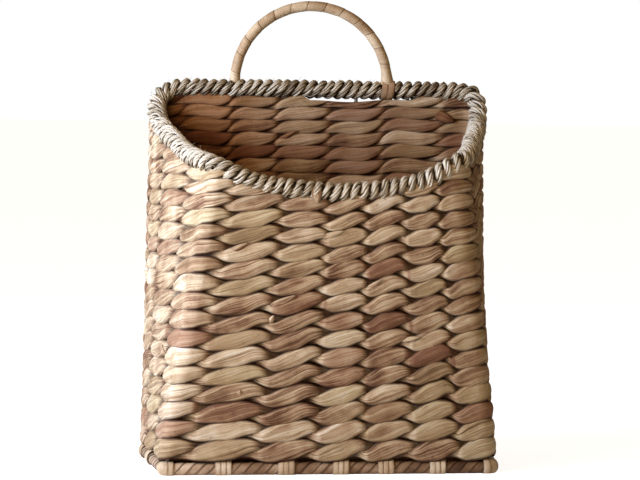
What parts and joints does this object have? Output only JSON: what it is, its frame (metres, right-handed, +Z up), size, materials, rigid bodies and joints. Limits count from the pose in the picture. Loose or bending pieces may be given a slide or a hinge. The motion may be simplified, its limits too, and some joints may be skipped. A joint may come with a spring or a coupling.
{
  "type": "hanging wall basket",
  "caption": "Flat-backed woven basket with a scooped front, cord-wrapped rim, wrapped base frame and a fixed loop on the back rim to hang it by.",
  "frame": {"origin": "on the floor under the middle of the part's bounding box", "axes": "+Z up, -Y towards the scooped front, +X to the right seen from the front"},
  "size_m": [0.3366, 0.1889, 0.437],
  "materials": {
    "hyacinth_weave": "dry matt plant fibre, straw to brown",
    "hyacinth_floor": "dry matt plant fibre, brown",
    "seagrass_cord": "twisted grey-green to khaki cord, matt",
    "loop_strip": "flat pale plant strip, slight sheen",
    "base_strip": "flat brown plant strip, matt",
    "foot_strip": "flat tan plant strip, matt",
    "stake_wire": "plain drawn wire",
    "frame_wire": "plain drawn wire"
  },
  "bodies": {
    "root": {"weft_row_01": "hyacinth_weave", "weft_row_02": "hyacinth_weave", "weft_row_03": "hyacinth_weave", "weft_row_04": "hyacinth_weave", "weft_row_05": "hyacinth_weave", "weft_row_06": "hyacinth_weave", "weft_row_07": "hyacinth_weave", "weft_row_08": "hyacinth_weave", "weft_row_09": "hyacinth_weave", "weft_row_10": "hyacinth_weave", "weft_row_11": "hyacinth_weave", "weft_row_12": "hyacinth_weave", "weft_row_13": "hyacinth_weave", "weft_row_14": "hyacinth_weave", "weft_row_15": "hyacinth_weave", "weft_row_16": "hyacinth_weave", "weft_row_17": "hyacinth_weave", "weft_row_18": "hyacinth_weave", "weft_row_19": "hyacinth_weave", "weft_row_20": "hyacinth_weave", "weft_row_21": "hyacinth_weave", "weft_row_22": "hyacinth_weave", "floor_row_1": "hyacinth_floor", "floor_row_2": "hyacinth_floor", "floor_row_3": "hyacinth_floor", "floor_row_4": "hyacinth_floor", "floor_row_5": "hyacinth_floor", "floor_row_6": "hyacinth_floor", "floor_row_7": "hyacinth_floor", "front_stake_1": "stake_wire", "front_stake_2": "stake_wire", "front_stake_3": "stake_wire", "front_stake_4": "stake_wire", "front_stake_5": "stake_wire", "left_stake_1": "stake_wire", "left_stake_2": "stake_wire", "right_stake_1": "stake_wire", "right_stake_2": "stake_wire", "front_left_corner_stake": "stake_wire", "front_right_corner_stake": "stake_wire", "back_left_corner_stake": "stake_wire", "back_right_corner_stake": "stake_wire", "back_stakes": "stake_wire", "rim_wire": "frame_wire", "base_wire": "frame_wire", "floor_wires": "frame_wire", "loop_wire": "frame_wire", "rim_wrap": "seagrass_cord", "loop_wrap": "loop_strip", "loop_lashing": "loop_strip", "base_wrap": "base_strip", "front_foot_wraps": "foot_strip", "back_foot_wraps": "foot_strip", "left_foot_wraps": "foot_strip", "right_foot_wraps": "foot_strip", "corner_foot_wraps": "foot_strip"}
  },
  "joints": []
}
